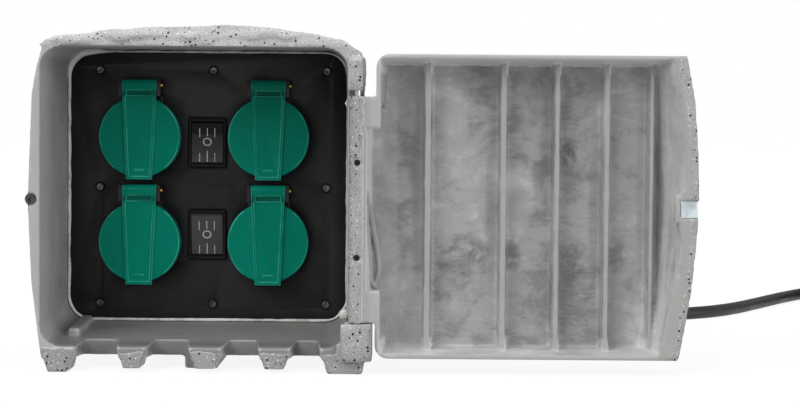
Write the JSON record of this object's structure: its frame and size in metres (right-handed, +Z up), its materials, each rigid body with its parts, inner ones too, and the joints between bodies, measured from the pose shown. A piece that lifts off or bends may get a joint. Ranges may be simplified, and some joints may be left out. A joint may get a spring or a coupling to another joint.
{
  "type": "outdoor socket block",
  "caption": "Stone-look outdoor mains distribution box with a hinged magnetic door, sprung lidded earthed sockets, rocker switches and a rubber supply lead with plug",
  "frame": {"origin": "on the ground, under the middle of the housing's base", "axes": "+X to the right seen from the front, the open front faces -Y, +Z is up; the door stands open to the right"},
  "size_m": [0.7133, 0.5506, 0.205],
  "materials": {
    "granite": "speckled stone-look coat on moulded resin",
    "door": "speckled stone-look coat outside, smoky overspray inside",
    "panel": "fine satin moulded",
    "lid": "satin gloss moulded",
    "seal": "matte",
    "sealant": "smooth cured sealant",
    "switch": "satin gloss",
    "black_screw": "blackened",
    "steel": "bright zinc plated",
    "brass": "drawn",
    "magnet": "pale zinc plated",
    "block_plastic": "natural moulded",
    "wire_brown": "sleeved wire",
    "wire_blue": "sleeved wire",
    "wire_green": "sleeved wire",
    "lead_rubber": "matte",
    "tie": "woven hook and loop",
    "pin_metal": "nickel plated"
  },
  "bodies": {
    "root": {"housing_front": "granite", "housing_rear": "granite", "rear_gasket": "seal", "cover_screws": "steel", "socket_panel": "panel", "panel_seal": "sealant", "panel_screws": "black_screw", "socket_left_lower": "panel", "socket_right_lower": "panel", "socket_left_upper": "panel", "socket_right_upper": "panel", "socket_ring_nuts": "panel", "socket_contacts": "brass", "earth_clips": "brass", "lid_hinge_pins": "brass", "lid_springs": "steel", "switch_body_lower": "switch", "switch_body_upper": "switch", "switch_terminals": "brass", "door_hinge_pin": "steel", "catch_screw": "black_screw", "cable_bush": "lead_rubber", "cable_inner": "lead_rubber", "cord_clamp": "block_plastic", "terminal_block": "block_plastic", "live_wires": "wire_brown", "neutral_wires": "wire_blue", "earth_wires": "wire_green", "switch_wires": "wire_brown", "cable_cores": "wire_blue", "cable_free_stretch": "lead_rubber", "cable_coil": "lead_rubber", "cable_tail": "lead_rubber", "coil_tie": "tie", "plug_body": "lead_rubber", "plug_pins": "pin_metal", "plug_earth_strips": "pin_metal"},
    "door": {"door_shell": "door", "door_magnet": "magnet"},
    "lid_left_lower_body": {"lid_left_lower": "lid", "lid_seal_left_lower": "seal"},
    "lid_right_lower_body": {"lid_right_lower": "lid", "lid_seal_right_lower": "seal"},
    "lid_left_upper_body": {"lid_left_upper": "lid", "lid_seal_left_upper": "seal"},
    "lid_right_upper_body": {"lid_right_upper": "lid", "lid_seal_right_upper": "seal"},
    "rocker_lower_body": {"rocker_lower": "switch"},
    "rocker_upper_body": {"rocker_upper": "switch"}
  },
  "joints": [
    {"name": "door_swing", "type": "hinge", "parent": "root", "child": "door", "pos_m": [0.0957, -0.0663, 0.09705], "axis": [0, 0, -1], "range_deg": [0, 180]},
    {"name": "lid_left_lower_hinge", "type": "hinge", "parent": "root", "child": "lid_left_lower_body", "pos_m": [-0.0418, -0.0024, 0.1059], "axis": [-1, 0, 0], "range_deg": [0, 100], "stiffness_Nm_per_rad": 0.02, "springref_deg": -57.3},
    {"name": "lid_right_lower_hinge", "type": "hinge", "parent": "root", "child": "lid_right_lower_body", "pos_m": [0.0386, -0.0024, 0.1059], "axis": [-1, 0, 0], "range_deg": [0, 100], "stiffness_Nm_per_rad": 0.02, "springref_deg": -57.3},
    {"name": "lid_left_upper_hinge", "type": "hinge", "parent": "root", "child": "lid_left_upper_body", "pos_m": [-0.0418, -0.0024, 0.1715], "axis": [-1, 0, 0], "range_deg": [0, 100], "stiffness_Nm_per_rad": 0.02, "springref_deg": -57.3},
    {"name": "lid_right_upper_hinge", "type": "hinge", "parent": "root", "child": "lid_right_upper_body", "pos_m": [0.0386, -0.0024, 0.1715], "axis": [-1, 0, 0], "range_deg": [0, 100], "stiffness_Nm_per_rad": 0.02, "springref_deg": -57.3},
    {"name": "rocker_lower_tilt", "type": "hinge", "parent": "root", "child": "rocker_lower_body", "pos_m": [-0.0006, 0.0105, 0.078], "axis": [1, 0, 0], "range_deg": [-16, 0]},
    {"name": "rocker_upper_tilt", "type": "hinge", "parent": "root", "child": "rocker_upper_body", "pos_m": [-0.0006, 0.0105, 0.1358], "axis": [1, 0, 0], "range_deg": [-8, 8]}
  ]
}
